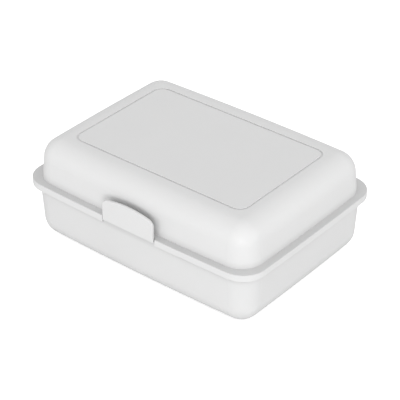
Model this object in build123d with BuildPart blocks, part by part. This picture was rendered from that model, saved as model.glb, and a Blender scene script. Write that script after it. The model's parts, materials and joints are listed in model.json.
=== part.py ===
from build123d import *
import math
import os

# A flat-bottomed lunch box with a domed lid.  The frame stands on the table:
# X runs left to right along the long side, the latch is at the front on -Y,
# the lid's hinge is at the back on +Y, and Z is up from the middle of the foot.

# ---------------------------------------------------------------- whole box
box_length = 178.0  # over the lid's rim, left to right
box_width = 132.2  # over the lid's rim, front to back
box_height = 67.7  # from the table to the top of the lid
rim_top = 41.8  # height of the lid's flat rim above the table
rim_corner = 16.1  # corner radius of the rim
front_bow = 1.65  # how far the long sides swell past their corners
side_bow = 0.71  # the same for the short sides
wall = 1.6  # moulded wall of tub and lid

# ---------------------------------------------------------------- lid
flange_thick = 1.5
skirt_thick = 1.5  # the lip that hangs down outside the tub's rim
skirt_height = 4.9
skirt_upper_edge = 0.35  # small radius where the rim's flat top turns down
skirt_lower_edge = 0.8  # softer radius at the skirt's foot
lid_inset = 4.85  # from the rim's edge to the foot of the dome's wall
lid_corner = 15.2
lid_draft = 5.4
dome_radius = 13.4  # big soft radius between the dome's wall and its top

panel_side_inset = 24.15  # from the rim's short edges to the label plate
panel_front_inset = 25.1  # the same from its long edges
panel_corner = 6.35
panel_thick = 0.6
panel_gap = 1.2  # groove left open all round the plate
panel_edge = 0.25  # softens both edges of the groove

# ---------------------------------------------------------------- tub
tub_inset = 3.65  # from the rim's edge to the tub's wall
tub_corner = 14.6
tub_draft = 3.4
tub_radius = 12.5  # soft radius between the tub's wall and its foot
tub_rim_gap = 0.35  # between the tub's rim and the skirt
tub_rim_thick = 1.55
seal_space = 0.75  # between the tub's top edge and the lid's flange

# ---------------------------------------------------------------- seal
seal_width = 1.8
seal_height = 1.25
seal_groove = 0.6
seal_side_gap = 0.05

# ---------------------------------------------------------------- divider
divider_x = 24.0  # leaves a large and a small compartment
divider_thick = 1.6
divider_gap = 0.2
divider_below_rim = 4.0
rib_thick = 1.3
rib_height = 1.8
finger_radius = 9.0
finger_depth = 5.0

# ---------------------------------------------------------------- latch
latch_width = 39.4
latch_thick = 1.45
latch_height = 17.3  # along the plate, to the middle of its arched top
latch_arch = 2.8  # rise of the arched top
latch_corner = 4.5
latch_edge = 0.4
latch_foot = 0.65  # the plate starts this far above its pin
latch_face_gap = 1.35  # from the pin's axis to the plate's inner face
latch_barrel = 1.2  # radius of the barrel that turns on the pin
latch_wall_gap = 0.25  # between the barrel and the tub's wall behind it
latch_rim_gap = 0.35  # between the barrel and the lid's rim above it
latch_pin_radius = 0.5
latch_lug_radius = 1.05
latch_lug_width = 2.7
latch_side_gap = 0.3
notch_gap = 0.85  # beside the plate, in the lid's rim
catch_width = 26.0
catch_thick = 1.1
catch_gap = 0.15  # above the rim that it holds down
catch_grip = 1.2  # how far it reaches over the rim
catch_edge_step = 0.3  # the rim is cut back this far behind the skirt's inner face

# ---------------------------------------------------------------- rear hinge
hinge_places = (-48.0, 48.0)
hinge_stand = 1.3  # the axis behind the rim's edge
hinge_drop = 2.5  # the axis below the skirt's lower edge
knuckle_radius = 2.15
knuckle_width = 15.4
lug_width = 4.0
hinge_side_gap = 0.3
hinge_pin_radius = 1.0
pin_edge = 0.2  # chamfer on the ends of every pin

press_gap = 0.01  # a pin in the lugs that hold it
running_gap = 0.05  # a pin in the knuckle that turns on it

# ---------------------------------------------------------------- worked out
flange_under = rim_top - flange_thick
skirt_bottom = rim_top - skirt_height
tub_top = flange_under - seal_space
panel_length = box_length - 2 * panel_side_inset
panel_width = box_width - 2 * panel_front_inset
half_length = box_length / 2
half_width = box_width / 2
divider_slot = divider_thick + 2 * divider_gap

latch_stand = tub_inset - latch_wall_gap - latch_barrel
latch_drop = flange_thick + latch_rim_gap + latch_barrel
catch_edge_stand = skirt_thick + catch_edge_step
latch_y = -half_width + latch_stand
latch_z = rim_top - latch_drop
notch_half = latch_width / 2 + notch_gap
barrel_half = latch_width / 2 - latch_lug_width + notch_gap / 2 - latch_side_gap
lug_start = barrel_half + latch_side_gap
catch_edge_y = -half_width + catch_edge_stand
plate_middle_y = latch_y - latch_face_gap - latch_thick / 2

hinge_y = half_width + hinge_stand
hinge_z = skirt_bottom - hinge_drop
hinge_span = knuckle_width + 2 * (hinge_side_gap + lug_width)


def outline(inset, corner):
    """The rim's shape, moved in by inset: four bowed sides joined by round corners."""
    side = half_length - inset
    front = half_width - inset
    corner_x = side - side_bow
    corner_y = front - front_bow
    with BuildSketch() as shape:
        with BuildLine():
            ThreePointArc((-corner_x, -corner_y), (0, -front), (corner_x, -corner_y))
            ThreePointArc((corner_x, -corner_y), (side, 0), (corner_x, corner_y))
            ThreePointArc((corner_x, corner_y), (0, front), (-corner_x, corner_y))
            ThreePointArc((-corner_x, corner_y), (-side, 0), (-corner_x, -corner_y))
        make_face()
        fillet(shape.vertices(), corner)
    return shape.sketch


def dome(inset, top):
    """The lid's domed body from the rim up to top, with its skin moved in by inset."""
    with BuildPart() as body:
        with BuildSketch(Plane.XY.offset(flange_under)):
            lower = (rim_top - flange_under) * math.tan(math.radians(lid_draft))
            add(outline(lid_inset + inset - lower, lid_corner - inset + lower))
        extrude(amount=top - flange_under, taper=lid_draft)
        fillet(body.faces().sort_by(Axis.Z)[-1].edges(), dome_radius - inset)
    return body.part


def bowl(inset, floor, top):
    """The tub's body from floor to top, with its skin moved in by inset."""
    with BuildPart() as body:
        with BuildSketch(Plane.XY.offset(tub_top)):
            add(outline(tub_inset + inset, tub_corner - inset))
        extrude(amount=floor - tub_top, taper=tub_draft)
        fillet(body.faces().sort_by(Axis.Z)[0].edges(), tub_radius - inset)
        if top > tub_top:
            extrude(body.faces().sort_by(Axis.Z)[-1], amount=top - tub_top)
        else:
            split(bisect_by=Plane.XY.offset(top), keep=Keep.BOTTOM)
    return body.part


def band(outer, outer_corner, inner, inner_corner, low, high):
    """A flat ring between two insets of the rim's shape."""
    with BuildPart() as ring:
        with BuildSketch(Plane.XY.offset(low)):
            add(outline(outer, outer_corner))
            add(outline(inner, inner_corner), mode=Mode.SUBTRACT)
        extrude(amount=high - low)
    return ring.part


def guide_rib(x):
    """A rib that runs down the front wall, over the floor and up the back wall at x."""
    root = wall - rib_thick / 4
    crest = wall + rib_height
    with BuildPart() as rib:
        add(bowl(root, root, tub_top - divider_below_rim))
        add(bowl(crest, crest, box_height), mode=Mode.SUBTRACT)
        with Locations((x, 0, 0)):
            Box(rib_thick, box_width, 2 * box_height, mode=Mode.INTERSECT)
    return rib.part


def panel_outline(grow):
    """The label plate's shape, made larger all round by grow."""
    with BuildSketch() as shape:
        RectangleRounded(panel_length + 2 * grow, panel_width + 2 * grow, panel_corner + grow)
    return shape.sketch


def save(piece, name):
    """Names the finished piece and writes it under the same name."""
    piece.label = name
    export_step(piece, f"parts/{name}.step")


os.makedirs("parts", exist_ok=True)

# The dome's outer skin rises from the flange, which reaches out past it and
# turns down into the skirt.  The hollow, the seal's groove, the notch for the
# latch and the recess for the label plate are then cut away.
with BuildPart() as lid_shell:
    with BuildSketch(Plane.XY.offset(skirt_bottom)):
        add(outline(0, rim_corner))
    extrude(amount=skirt_height)
    fillet(lid_shell.edges().group_by(Axis.Z)[-1], skirt_upper_edge)
    fillet(lid_shell.edges().group_by(Axis.Z)[0], skirt_lower_edge)
    with BuildSketch(Plane.XY.offset(skirt_bottom)):
        add(outline(skirt_thick, rim_corner - skirt_thick))
    extrude(amount=flange_under - skirt_bottom, mode=Mode.SUBTRACT)
    add(dome(0, box_height))
    add(dome(wall, box_height - wall), mode=Mode.SUBTRACT)
    seal_outer = tub_inset - seal_side_gap
    add(
        band(
            seal_outer - seal_side_gap,
            tub_corner + 2 * seal_side_gap,
            seal_outer + seal_width + seal_side_gap,
            tub_corner - seal_width,
            flange_under,
            flange_under + seal_groove,
        ),
        mode=Mode.SUBTRACT,
    )
    with BuildSketch(Plane.XY.offset(box_height)):
        add(panel_outline(panel_gap))
    extrude(amount=-panel_thick, mode=Mode.SUBTRACT)
    top_ring = lid_shell.faces().sort_by(Axis.Z)[-1]
    fillet(top_ring.inner_wires().edges(), panel_edge)
    notch_depth = latch_stand + latch_thick + latch_face_gap
    with BuildSketch(Plane.XY.offset(skirt_bottom)):
        with Locations((0, catch_edge_y)):
            Rectangle(2 * notch_half, notch_depth, align=(Align.CENTER, Align.MAX))
    extrude(amount=skirt_height, mode=Mode.SUBTRACT)
    # Two arms hang from the skirt and end in the knuckles that turn on the pins.
    for place in hinge_places:
        with BuildSketch(Plane.YZ.offset(place - knuckle_width / 2)):
            with Locations((hinge_y, hinge_z)):
                Circle(knuckle_radius)
            with BuildLine():
                Polyline(
                    (half_width - skirt_thick, skirt_bottom + skirt_height / 2),
                    (half_width - skirt_upper_edge, skirt_bottom + skirt_height / 2),
                    (hinge_y + knuckle_radius, hinge_z),
                    (hinge_y, hinge_z - knuckle_radius / 2),
                    (half_width - skirt_thick, hinge_z),
                    close=True,
                )
            make_face()
        extrude(amount=knuckle_width)
        with BuildSketch(Plane.YZ.offset(place - knuckle_width / 2)):
            with Locations((hinge_y, hinge_z)):
                Circle(hinge_pin_radius + running_gap)
        extrude(amount=knuckle_width, mode=Mode.SUBTRACT)
save(lid_shell.part, "lid_shell")

# The label plate lies flush in its recess, with its upper edge eased.
with BuildPart() as lid_panel:
    with BuildSketch(Plane.XY.offset(box_height - panel_thick)):
        add(panel_outline(0))
    extrude(amount=panel_thick)
    fillet(lid_panel.edges().group_by(Axis.Z)[-1], panel_edge)
save(lid_panel.part, "lid_panel")

# The seal is pressed into its groove and rests on the tub's top edge.
with BuildPart() as lid_seal:
    add(
        band(
            seal_outer,
            tub_corner + seal_side_gap,
            seal_outer + seal_width,
            tub_corner - seal_width + seal_side_gap,
            flange_under + seal_groove - seal_height,
            flange_under + seal_groove,
        )
    )
save(lid_seal.part, "lid_seal")

# The tub has an outward rim under the lid's flange, lugs for the hinge and the
# latch, and two ribs that guide the divider down both walls and over the floor.
with BuildPart() as base_tub:
    add(bowl(0, 0, tub_top))
    with BuildSketch(Plane.XY.offset(tub_top - tub_rim_thick)):
        rim_inset = skirt_thick + tub_rim_gap
        add(outline(rim_inset, rim_corner - rim_inset))
        with Locations((0, -half_width)):
            Rectangle(2 * notch_half, 2 * tub_inset, mode=Mode.SUBTRACT)
    extrude(amount=tub_rim_thick)
    for place in hinge_places:
        for side in (-1, 1):
            centre = place + side * (knuckle_width / 2 + hinge_side_gap + lug_width / 2)
            with BuildSketch(Plane.YZ.offset(centre - lug_width / 2)):
                with Locations((hinge_y, hinge_z)):
                    Circle(knuckle_radius)
                with Locations((hinge_y, hinge_z - knuckle_radius)):
                    Rectangle(
                        hinge_stand + tub_inset + tub_radius / 2,
                        2 * knuckle_radius,
                        align=(Align.MAX, Align.MIN),
                    )
            extrude(amount=lug_width)
    for side in (-1, 1):
        with BuildSketch(Plane.YZ.offset(side * (lug_start + latch_lug_width / 2))):
            with Locations((latch_y, latch_z)):
                Circle(latch_lug_radius)
                Rectangle(tub_inset, latch_lug_radius, align=(Align.MIN, Align.MAX))
        extrude(amount=latch_lug_width / 2, both=True)
    add(bowl(wall, wall, box_height), mode=Mode.SUBTRACT)
    for side in (-1, 1):
        add(guide_rib(divider_x + side * (divider_slot + rib_thick) / 2))
    for place in hinge_places:
        with BuildSketch(Plane.YZ.offset(place - hinge_span / 2)):
            with Locations((hinge_y, hinge_z)):
                Circle(hinge_pin_radius + press_gap)
        extrude(amount=hinge_span, mode=Mode.SUBTRACT)
    with BuildSketch(Plane.YZ):
        with Locations((latch_y, latch_z)):
            Circle(latch_pin_radius + press_gap)
    extrude(amount=notch_half, both=True, mode=Mode.SUBTRACT)
save(base_tub.part, "base_tub")

# The divider drops between the ribs and has a finger scoop in its top edge.
with BuildPart() as divider:
    divider_skin = wall + divider_gap
    add(bowl(divider_skin, divider_skin, tub_top - divider_below_rim))
    with Locations((divider_x, 0, 0)):
        Box(divider_thick, box_width, 2 * box_height, mode=Mode.INTERSECT)
    with BuildSketch(Plane.YZ.offset(divider_x - divider_thick)):
        with Locations((0, tub_top - divider_below_rim - finger_depth + finger_radius)):
            Circle(finger_radius)
    extrude(amount=2 * divider_thick, mode=Mode.SUBTRACT)
save(divider.part, "divider")

# The latch is a thin arched plate that turns on a pin at its foot.  A catch on
# its inner face closes over the edge of the lid's rim.
latch_plane = Plane(
    origin=(0, latch_y - latch_face_gap, latch_z),
    x_dir=(1, 0, 0),
    z_dir=(0, -1, 0),
)
with BuildPart() as latch_clip:
    with BuildSketch(latch_plane) as plate:
        half = latch_width / 2
        shoulder = latch_height - latch_arch
        with BuildLine():
            Line((half, shoulder), (half, latch_foot))
            Line((half, latch_foot), (-half, latch_foot))
            Line((-half, latch_foot), (-half, shoulder))
            ThreePointArc((-half, shoulder), (0, latch_height), (half, shoulder))
        make_face()
        fillet(plate.vertices().group_by(Axis.Y)[-1], latch_corner)
        fillet(plate.vertices().group_by(Axis.Y)[0], latch_edge)
    extrude(amount=latch_thick)
    fillet(latch_clip.faces().sort_by(Axis.Y)[0].edges(), latch_edge)
    with BuildSketch(Plane.YZ):
        with Locations((latch_y, latch_z)):
            Circle(latch_barrel)
            Rectangle(
                latch_face_gap + latch_thick / 4,
                latch_barrel,
                align=(Align.MAX, Align.MIN),
            )
    extrude(amount=barrel_half, both=True)
    with BuildSketch(Plane.YZ):
        with Locations((catch_edge_y + catch_grip, rim_top + catch_gap)):
            Rectangle(
                catch_edge_y + catch_grip - plate_middle_y,
                catch_thick,
                align=(Align.MAX, Align.MIN),
            )
    extrude(amount=catch_width / 2, both=True)
    with BuildSketch(Plane.YZ):
        with Locations((latch_y, latch_z)):
            Circle(latch_pin_radius + running_gap)
    extrude(amount=barrel_half, both=True, mode=Mode.SUBTRACT)
save(latch_clip.part, "latch_clip")


def pin(x_start, length, y, z, radius):
    """A plain steel pin along X with its ends chamfered."""
    with BuildPart() as rod:
        with BuildSketch(Plane.YZ.offset(x_start)):
            with Locations((y, z)):
                Circle(radius)
        extrude(amount=length)
        chamfer(rod.edges().filter_by(GeomType.CIRCLE), pin_edge)
    return rod.part


latch_pin_length = 2 * (lug_start + latch_lug_width)
save(pin(-latch_pin_length / 2, latch_pin_length, latch_y, latch_z, latch_pin_radius), "latch_pin")
for side, place in zip(("left", "right"), hinge_places):
    start = place - hinge_span / 2
    save(pin(start, hinge_span, hinge_y, hinge_z, hinge_pin_radius), f"hinge_pin_{side}")

print("latch axis y z", round(latch_y, 3), round(latch_z, 3))
print("hinge axis y z", round(hinge_y, 3), round(hinge_z, 3))
print("lid top above the table when folded back", round(2 * hinge_z - box_height, 2))
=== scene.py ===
# %% [markdown]
# # A moulded lunch box
# The box is a tub with a domed lid, two hinges at the back and a finger latch at
# the front. Its shapes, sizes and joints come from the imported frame, so this
# lesson is about what the shapes alone do not give: how smooth white plastic,
# soft silicone and drawn wire look, and how a plain studio lights them.

# %% Load the frame
import json
import math
import bpy
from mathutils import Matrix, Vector


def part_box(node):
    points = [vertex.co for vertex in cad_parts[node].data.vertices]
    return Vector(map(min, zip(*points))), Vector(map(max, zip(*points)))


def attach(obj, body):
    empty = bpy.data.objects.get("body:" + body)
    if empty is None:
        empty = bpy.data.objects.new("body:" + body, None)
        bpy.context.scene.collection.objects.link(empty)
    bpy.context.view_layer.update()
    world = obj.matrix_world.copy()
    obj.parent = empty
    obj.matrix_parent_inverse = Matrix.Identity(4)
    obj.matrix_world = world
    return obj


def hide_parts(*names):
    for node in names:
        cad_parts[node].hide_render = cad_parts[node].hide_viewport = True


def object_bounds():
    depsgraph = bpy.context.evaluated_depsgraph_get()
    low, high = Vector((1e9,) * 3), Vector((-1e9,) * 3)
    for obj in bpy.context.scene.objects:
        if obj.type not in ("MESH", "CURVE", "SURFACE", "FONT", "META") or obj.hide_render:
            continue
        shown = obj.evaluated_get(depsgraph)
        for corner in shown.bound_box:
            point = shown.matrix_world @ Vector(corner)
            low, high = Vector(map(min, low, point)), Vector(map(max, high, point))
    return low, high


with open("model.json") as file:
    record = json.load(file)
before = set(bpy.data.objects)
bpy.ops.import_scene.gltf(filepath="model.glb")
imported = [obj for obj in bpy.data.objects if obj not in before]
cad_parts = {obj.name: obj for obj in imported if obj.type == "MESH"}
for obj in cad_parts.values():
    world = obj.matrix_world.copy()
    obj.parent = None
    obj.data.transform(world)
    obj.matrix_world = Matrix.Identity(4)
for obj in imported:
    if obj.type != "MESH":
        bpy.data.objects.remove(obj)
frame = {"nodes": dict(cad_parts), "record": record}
cad_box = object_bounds()
low, high = (Vector(corner) for corner in cad_box)
print("box from", tuple(low), "to", tuple(high))

# %% [markdown]
# ## The camera
# The box is seen from its front right corner, a little over thirty degrees above
# the table. A long lens keeps its edges nearly parallel. A camera could be given
# by its coordinates, but then a small turn means working out three of them
# again. Here it is placed by its angles around a point inside the box, as one
# would describe it: how far round, how high, how far away. The same function
# places the lamps later.

# %% Place the camera
look_at = Vector((0.001, 0.0, 0.0283))
camera_round = 39.2  # degrees round from the front towards the right side
camera_above = 33.03  # degrees above the table
camera_away = 0.9644
lens_per_sensor = 3.8814  # the lens's length over the sensor's width


def face_the_box(thing, degrees_round, degrees_above, away):
    """Puts a camera or a lamp at its place around the box, and turns it to look at it."""
    turn, rise = math.radians(degrees_round), math.radians(degrees_above)
    direction = Vector(
        (
            math.sin(turn) * math.cos(rise),
            -math.cos(turn) * math.cos(rise),
            math.sin(rise),
        )
    )
    thing.location = look_at + direction * away
    thing.rotation_euler = (-direction).to_track_quat("-Z", "Y").to_euler()


camera_data = bpy.data.cameras.new("studio_camera")
camera_data.lens = camera_data.sensor_width * lens_per_sensor
camera_data.clip_start = 0.01
camera_data.clip_end = 100.0
camera = bpy.data.objects.new("studio_camera", camera_data)
bpy.context.scene.collection.objects.link(camera)
face_the_box(camera, camera_round, camera_above, camera_away)
bpy.context.scene.camera = camera
print("lens", round(camera_data.lens, 1), "mm")

# %% [markdown]
# ## Shader sums as plain expressions
# A finish is mostly arithmetic: a mask times a strength plus a base value. The
# nodes could be added and linked one by one, but the sum is then hard to read
# back. One small class wraps a node's output, so that an expression such as
# `1 - mask` adds its Math nodes by itself. Every other kind of node comes from
# one method.

# %% Wrap a socket, so that it can be added and multiplied


class Signal:
    """An output socket of a material's node tree, with Python's operators."""

    def __init__(self, tree, socket):
        self.tree = tree
        self.socket = socket

    def math(self, operation, *others, clamp=False):
        node = self.tree.node("ShaderNodeMath", {"operation": operation, "use_clamp": clamp})
        for place, value in enumerate((self, *others)):
            self.tree.feed(node.inputs[place], value)
        return Signal(self.tree, node.outputs[0])

    def __add__(self, other):
        return self.math("ADD", other)

    __radd__ = __add__

    def __mul__(self, other):
        return self.math("MULTIPLY", other)

    __rmul__ = __mul__

    def __sub__(self, other):
        return self.math("SUBTRACT", other)

    def __rsub__(self, other):
        return (self * -1.0) + other

    def clamp(self):
        return self.math("ADD", 0.0, clamp=True)

    def step(self, start, end):
        """0 at start, 1 at end, and soft in between; start may be above end."""
        node = self.tree.node("ShaderNodeMapRange", {"interpolation_type": "SMOOTHSTEP"})
        for name, value in (("Value", self), ("From Min", start), ("From Max", end)):
            self.tree.feed(node.inputs[name], value)
        return Signal(self.tree, node.outputs["Result"])


class Finish:
    """A new material with a Principled shader, and one way to add any node."""

    def __init__(self, name):
        self.material = bpy.data.materials.new(name)
        self.material.use_nodes = True
        self.nodes = self.material.node_tree.nodes
        self.links = self.material.node_tree.links
        self.shader = self.nodes["Principled BSDF"]
        self.place = self.out("ShaderNodeTexCoord", "Object")
        split = self.node("ShaderNodeSeparateXYZ", {}, {"Vector": self.place})
        self.z = Signal(self, split.outputs["Z"])

    def feed(self, socket, value):
        if isinstance(value, Signal):
            self.links.new(value.socket, socket)
        else:
            socket.default_value = value

    def node(self, kind, settings=None, values=None):
        node = self.nodes.new(kind)
        for name, value in (settings or {}).items():
            setattr(node, name, value)
        for name, value in (values or {}).items():
            self.feed(node.inputs[name], value)
        return node

    def out(self, kind, output, settings=None, values=None):
        return Signal(self, self.node(kind, settings, values).outputs[output])

    def stretched(self, factors):
        """Object coordinates, with a pattern's features stretched by factors."""
        scale = tuple(1.0 / factor for factor in factors)
        return self.out("ShaderNodeMapping", "Vector", {}, {"Vector": self.place, "Scale": scale})

    def noise(self, size, detail=2.0, rough=0.5, vector=None):
        """Noise whose lumps are about size metres across, between 0 and 1."""
        values = {
            "Vector": vector or self.place,
            "Scale": 1.0 / size,
            "Detail": detail,
            "Roughness": rough,
        }
        return self.out("ShaderNodeTexNoise", "Fac", {}, values)

    def tint(self, mask, dark, light):
        """A colour between dark and light, by mask."""
        node = self.node("ShaderNodeMix", {"data_type": "RGBA"}, {"Factor": mask})
        ends = [socket for socket in node.inputs if socket.type == "RGBA"]
        for end, colour in zip(ends, (dark, light)):
            end.default_value = (*colour, 1.0)
        mixed = [socket for socket in node.outputs if socket.type == "RGBA"]
        return Signal(self, mixed[0])

    def bump(self, height, depth):
        values = {"Height": height, "Distance": depth, "Strength": 1.0}
        return self.out("ShaderNodeBump", "Normal", {}, values)

    def surface(self, **sockets):
        """Feeds the shader: base_color stands for its Base Color, ior for its IOR."""
        for name, value in sockets.items():
            socket_name = name.replace("_", " ").title().replace("Ior", "IOR")
            self.feed(self.shader.inputs[socket_name], value)
        return self.material


def grey(value):
    return (value, value, value)


print("shader helpers ready")

# %% [markdown]
# ## Where use shows, and where shade is painted
# Use shows in places, so each part gets the marks of its own place. Dust and
# washing-up haze settle in the gutter where the lid's wall meets its rim, and on
# the tub's wall just under that rim, and there the colour is also darkened as
# painted shade. The foot is scuffed by the table, a thumb has polished the top of
# the latch, and hands have polished the lid's shoulders. These places could be
# painted by hand, but that needs a picture, which this lesson does without. So
# they are found by height, and the dust and painted shade keep to outer faces:
# those whose normal points away from the middle of the box.
#
# The two strengths are more than a clean box's dust would have, because the same
# masks also paint in shade: the darker rim, and the darker wall under it, that
# this light does not give by itself.

# %% Find the places that wear, gather dust and get painted shade
seal_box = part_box("lid_seal")
latch_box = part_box("latch_clip")
rim_over_seal = 0.0009  # plastic between the seal and the rim's top
skirt_drop = 0.0049  # from the rim's top to the skirt's lower edge
rim_top = seal_box[1][2] + rim_over_seal
rim_foot = rim_top - skirt_drop

# The gutter mask darkens the colour in the crease by the lid's wall: partly dust, partly painted
# shade.
gutter_dust_and_shade_strength = 0.115
gutter_climb = 0.0044  # dust and painted shade fade out this far up the lid's wall
gutter_none = 0.0006  # no dust and no painted shade lower than this under the rim's top, so none on the skirt
gutter_full = 0.0001
# The under-rim mask darkens the tub's wall under the skirt: partly dust, partly painted shade.
shade_strength = 0.12
shade_start = 0.0018  # under the skirt, the dust and painted shade are full down to here
shade_end = 0.006
scuff_height = 0.0012  # how far up from the table the foot is scuffed
thumb_reach = 0.006  # polished part of the latch, down from its top
shoulder_reach = 0.006  # polished part of the lid, down from its top


def outer_faces(finish):
    normal = finish.out("ShaderNodeTexCoord", "Normal")
    ends = {0: normal, 1: finish.place}
    outward = finish.out("ShaderNodeVectorMath", "Value", {"operation": "DOT_PRODUCT"}, ends)
    return outward.step(0.0, 0.01)


def gutter_dust_and_shade(finish):
    """Dust and painted shade all over the rim's flat top, fading out up the wall; none on the
    skirt below.
    """
    above_skirt = finish.z.step(rim_top - gutter_none, rim_top - gutter_full)
    near = finish.z.step(rim_top + gutter_climb, rim_top)
    return above_skirt * near * outer_faces(finish) * gutter_dust_and_shade_strength


def under_rim_dust_and_shade(finish):
    # Dust and painted shade on the tub's wall, fading downward from the skirt's lower edge.
    near = finish.z.step(rim_foot - shade_end, rim_foot - shade_start)
    return near * outer_faces(finish) * shade_strength


def nowhere(finish):
    return 0.0


def foot_scuffs(finish):
    foot = finish.z.step(scuff_height, 0.0)
    return foot * finish.noise(0.0009, detail=4.0, rough=0.7).step(0.45, 0.62)


def thumb_polish(finish):
    reach = finish.z.step(latch_box[1][2] - thumb_reach, latch_box[1][2])
    return reach * finish.noise(0.004, detail=2.0).step(0.35, 0.6)


def shoulder_polish(finish):
    reach = finish.z.step(high.z - shoulder_reach, high.z)
    return reach * outer_faces(finish) * finish.noise(0.006, detail=3.0).step(0.4, 0.6)


print("rim from", round(rim_foot, 4), "to", round(rim_top, 4))

# %% [markdown]
# ## Moulded white plastic
# The tub, lid, latch and divider come out of polished steel moulds that were
# given a very fine matt grain. Up close the skin has a grain of about a third of
# a millimetre, long shallow waves where the melt cooled, and a few hair-fine
# scratches from use. The material could be one flat white, but then the large
# soft curves have nothing for the light to hold on to. So all three are laid
# over each other, each very weak: the eye reads them together as plastic.

# %% Make the moulded plastics
white = 0.63
grain_size = 0.00035
wave_size = 0.035
scratch_size = 0.0006
scratch_stretch = (14.0, 1.0, 1.0)  # scratches run along X
scratch_cut = 0.25  # how deep a scratch goes, in parts of the grain's depth
cloud_waves, cloud_grain = 0.7, 0.3  # what the faint clouds are mixed from
cloud_contrast = 0.04
wave_dulls, grain_dulls, scratch_dulls = 0.06, 0.05, 0.05  # added to the roughness


def moulded_plastic(name, dust, rubbed, rubbed_change, roughness=0.42, grain_depth=0.000006):
    """White plastic; rubbed places get rubbed_change added to their roughness."""
    finish = Finish(name)
    grain = finish.noise(grain_size, detail=3.0, rough=0.6)
    waves = finish.noise(wave_size, detail=1.0)
    streaks = finish.noise(scratch_size, detail=2.0, vector=finish.stretched(scratch_stretch))
    scratches = streaks.step(0.66, 0.72)
    cloudy = (waves * cloud_waves + grain * cloud_grain).clamp()
    # dust(finish) is taken off the lightness: on the lid and the tub it is dust and painted
    # shade.
    lightness = cloudy * cloud_contrast + (1.0 - cloud_contrast) - dust(finish)
    dulled = waves * wave_dulls + grain * grain_dulls + scratches * scratch_dulls
    return finish.surface(
        base_color=finish.tint(lightness.clamp(), grey(0.0), grey(white)),
        roughness=(dulled + rubbed(finish) * rubbed_change + roughness).clamp(),
        normal=finish.bump(grain - scratches * scratch_cut, grain_depth),
        ior=1.49,
        specular_ior_level=0.42,
        subsurface_weight=0.06,
        subsurface_radius=(0.0012, 0.0011, 0.001),
    )


plastics = {
    "lid_shell": moulded_plastic("lid_plastic", gutter_dust_and_shade, shoulder_polish, -0.06),
    "base_tub": moulded_plastic("tub_plastic", under_rim_dust_and_shade, foot_scuffs, 0.2),
    "latch_clip": moulded_plastic("latch_plastic", nowhere, thumb_polish, -0.1),
    "divider": moulded_plastic("divider_plastic", nowhere, foot_scuffs, 0.1),
    "lid_panel": moulded_plastic(
        "panel_plastic", nowhere, nowhere, 0.0, roughness=0.5, grain_depth=0.000008
    ),
}
print("plastics for", sorted(plastics))

# %% [markdown]
# ## Silicone and drawn wire
# The seal is a soft pale grey rubber with a slightly dusty skin. The pins are
# wire that was pulled through a die, which leaves fine lines along its length.
# The lines could be drawn in a picture, but a noise stretched a hundred times
# along X gives them at any distance and without a texture.

# %% Make the silicone and the wire


def silicone():
    finish = Finish("seal_silicone")
    dust = finish.noise(0.0005, detail=4.0, rough=0.6)
    clouds = finish.noise(0.012, detail=2.0)
    return finish.surface(
        base_color=finish.tint((dust * 0.4 + clouds * 0.6).clamp(), grey(0.56), grey(0.66)),
        roughness=(dust * 0.15 + 0.55).clamp(),
        normal=finish.bump(dust, 0.00001),
        subsurface_weight=0.15,
        subsurface_radius=(0.002, 0.002, 0.002),
    )


def drawn_wire():
    finish = Finish("drawn_wire")
    lines = finish.noise(0.00012, detail=3.0, vector=finish.stretched((100.0, 1.0, 1.0)))
    spots = finish.noise(0.0015, detail=2.0)
    return finish.surface(
        base_color=finish.tint(lines, grey(0.5), grey(0.66)),
        metallic=1.0,
        roughness=(lines * 0.15 + spots * 0.1 + 0.22).clamp(),
        normal=finish.bump(lines, 0.000006),
    )


metals_and_rubber = {"seal_rubber": silicone(), "pin_steel": drawn_wire()}
print("made", sorted(metals_and_rubber))

# %% [markdown]
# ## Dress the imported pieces
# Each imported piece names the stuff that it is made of. A finish could be set for
# each by hand, but a loop over the record misses none. Where a plastic has marks
# of its own place, it is found by the piece's name, and all else by the stuff.

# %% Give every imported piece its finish
for part in frame["record"]["subparts"]:
    node = frame["nodes"][part["node"]]
    material = plastics.get(part["node"]) or metals_and_rubber[part["material_slot"]]
    for place in node.material_slots:
        place.material = material
    print(part["node"], "->", material.name)

# %% [markdown]
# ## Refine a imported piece
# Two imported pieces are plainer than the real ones: the seal and the divider.
# They could be drawn again, but the seal's outline bows a little with the box,
# and a copy keeps that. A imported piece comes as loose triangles, so the copy is
# merged into one skin first, and flat neighbours are joined into whole faces.

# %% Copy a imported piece, and round its edges
merge_within = 1e-6
flat_within = math.radians(0.01)
sharp_from = math.radians(50)  # edges that turn more than this are rounded
smooth_below = math.radians(40)


def merged_copy(node_name, name):
    """A new piece with a node's shape, its loose triangles merged into clean faces."""
    piece = bpy.data.objects.new(name, frame["nodes"][node_name].data.copy())
    bpy.context.scene.collection.objects.link(piece)
    bpy.ops.object.select_all(action="DESELECT")
    piece.select_set(True)
    bpy.context.view_layer.objects.active = piece
    bpy.ops.object.mode_set(mode="EDIT")
    bpy.ops.mesh.select_mode(type="FACE")
    bpy.ops.mesh.select_all(action="SELECT")
    bpy.ops.mesh.remove_doubles(threshold=merge_within)
    bpy.ops.mesh.dissolve_limited(angle_limit=flat_within)
    bpy.ops.mesh.select_all(action="DESELECT")
    bpy.ops.object.mode_set(mode="OBJECT")
    return piece


def round_edges(piece, radius):
    rounding = piece.modifiers.new("rounding", "BEVEL")
    rounding.width = radius
    rounding.segments = 3
    rounding.limit_method = "ANGLE"
    rounding.angle_limit = sharp_from
    bpy.ops.object.modifier_apply(modifier=rounding.name)
    bpy.ops.object.shade_smooth_by_angle(angle=smooth_below)


def cover(piece, material):
    piece.data.materials.clear()
    piece.data.materials.append(material)


print("piece helpers ready")

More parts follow.
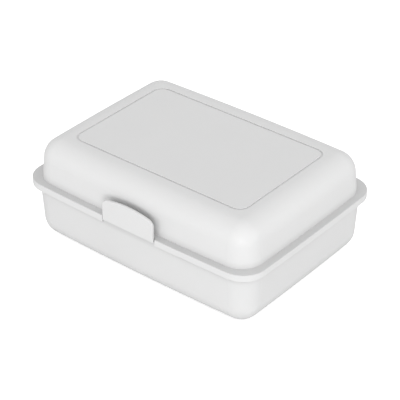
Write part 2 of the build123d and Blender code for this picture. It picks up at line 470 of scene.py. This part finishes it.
# %% [markdown]
# ## The seal
# A lid seal is a soft ring with two lips. The lips bend as the lid closes, and a
# shallow channel between them holds any drop that gets past the first one. The
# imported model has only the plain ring, which is all that its size and weight
# need. The channel could be cut with a second ring, but an inset of the lower
# face follows the outline by itself: the inner part is pushed up to leave the
# lips, and a bevel rounds every edge.

# %% Model the seal
lip_width = 0.00055
channel_depth = 0.0004
lip_round = 0.00018
facing_down = -0.9  # a face's normal is lower than this along Z

seal = merged_copy("lid_seal", "seal_with_lips")
for face in seal.data.polygons:
    face.select = face.normal.z < facing_down
bpy.ops.object.mode_set(mode="EDIT")
bpy.ops.mesh.inset(thickness=lip_width, use_even_offset=True)
bpy.ops.transform.translate(value=(0.0, 0.0, channel_depth))
bpy.ops.object.mode_set(mode="OBJECT")
round_edges(seal, lip_round)
cover(seal, metals_and_rubber["seal_rubber"])
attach(seal, "lid")
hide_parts("lid_seal")
print("seal", len(seal.data.polygons), "faces")

# %% [markdown]
# ## The divider
# The loose divider is a moulded plate, and no moulded plate has sharp edges: the
# steel is rounded so that the plate lets go, and so that it is kind to fingers.
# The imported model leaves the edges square. They could be rounded one by one, but
# a bevel on every sharp edge of a merged copy does the same in one step.

# %% Round the divider's edges
divider_round = 0.0004

divider = merged_copy("divider", "rounded_divider")
round_edges(divider, divider_round)
cover(divider, plastics["divider"])
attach(divider, "tub")
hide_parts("divider")
print("divider", len(divider.data.polygons), "faces")

# %% [markdown]
# ## The floor
# The floor is white paper. Paper that is bright enough to look pure white would
# throw too much light up at the box, and dimmer paper would look grey. So the
# camera sees the paper with a glow added, while every other ray meets plain
# paper: a mix by the kind of ray does both.

# %% Lay the floor
floor_size = 40.0
floor_gap = 0.0001  # keeps the floor and the foot from sharing one plane
floor_glow = 0.62
paper_dark, paper_light = 0.69, 0.71

bpy.ops.object.select_all(action="DESELECT")
bpy.ops.mesh.primitive_plane_add(size=floor_size, location=(0, 0, low.z - floor_gap))
floor = bpy.context.object
floor.name = "studio_floor"
bpy.ops.object.transform_apply(location=True, rotation=True, scale=True)
paper = Finish("floor_paper")
paper_tooth = paper.noise(0.002, detail=2.0)
paper.surface(
    base_color=paper.tint(paper_tooth, grey(paper_dark), grey(paper_light)),
    roughness=(paper_tooth * 0.05 + 0.9).clamp(),
    specular_ior_level=0.0,
)
glow = paper.node("ShaderNodeEmission", {}, {"Strength": floor_glow})
lit_paper = paper.node("ShaderNodeAddShader")
paper.links.new(paper.shader.outputs[0], lit_paper.inputs[0])
paper.links.new(glow.outputs[0], lit_paper.inputs[1])
seen = paper.out("ShaderNodeLightPath", "Is Camera Ray")
either = paper.node("ShaderNodeMixShader", {}, {"Fac": seen})
paper.links.new(paper.shader.outputs[0], either.inputs[1])
paper.links.new(lit_paper.outputs[0], either.inputs[2])
paper.links.new(either.outputs[0], paper.nodes["Material Output"].inputs["Surface"])
floor.data.materials.append(paper.material)
print("floor", floor_size, "m wide")

# %% [markdown]
# ## The light
# A white object on a white floor is shown by its shades alone. The light here is
# of two kinds. An even pale sky fills every hollow a little, and where it is shut
# out, as under the lid's rim, the plastic goes darker by itself. Three broad
# lamps give the walls their shades. The strongest is low and close to the
# camera's own direction, so that what faces the camera is brightest and what
# turns away fades. A lamp there also keeps its own shadows behind the object.
# The second lights the front, and the third the right-hand wall. One lamp could
# do it, but then the front and the right-hand wall could not be set apart.

# %% Set the sky and the lamps
sky_strength = 0.97
lamp_distance = 2.0
lamp_width = 1.0

world = bpy.data.worlds.new("studio")
bpy.context.scene.world = world
world.use_nodes = True
sky = world.node_tree.nodes["Background"]
sky.inputs["Color"].default_value = (1.0, 1.0, 1.0, 1.0)
sky.inputs["Strength"].default_value = sky_strength
bpy.context.scene.view_settings.view_transform = "Standard"


def soft_lamp(name, degrees_round, degrees_above, power, height=1.0):
    data = bpy.data.lights.new(name, "AREA")
    data.shape = "RECTANGLE"
    data.size = lamp_width
    data.size_y = height
    data.energy = power
    lamp = bpy.data.objects.new(name, data)
    bpy.context.scene.collection.objects.link(lamp)
    face_the_box(lamp, degrees_round, degrees_above, lamp_distance)
    print(name, power, "W")


soft_lamp("camera_lamp", degrees_round=38, degrees_above=7, power=13.6, height=0.5)
soft_lamp("front_lamp", degrees_round=0, degrees_above=13, power=7.0)
soft_lamp("right_lamp", degrees_round=110, degrees_above=20, power=7.2)
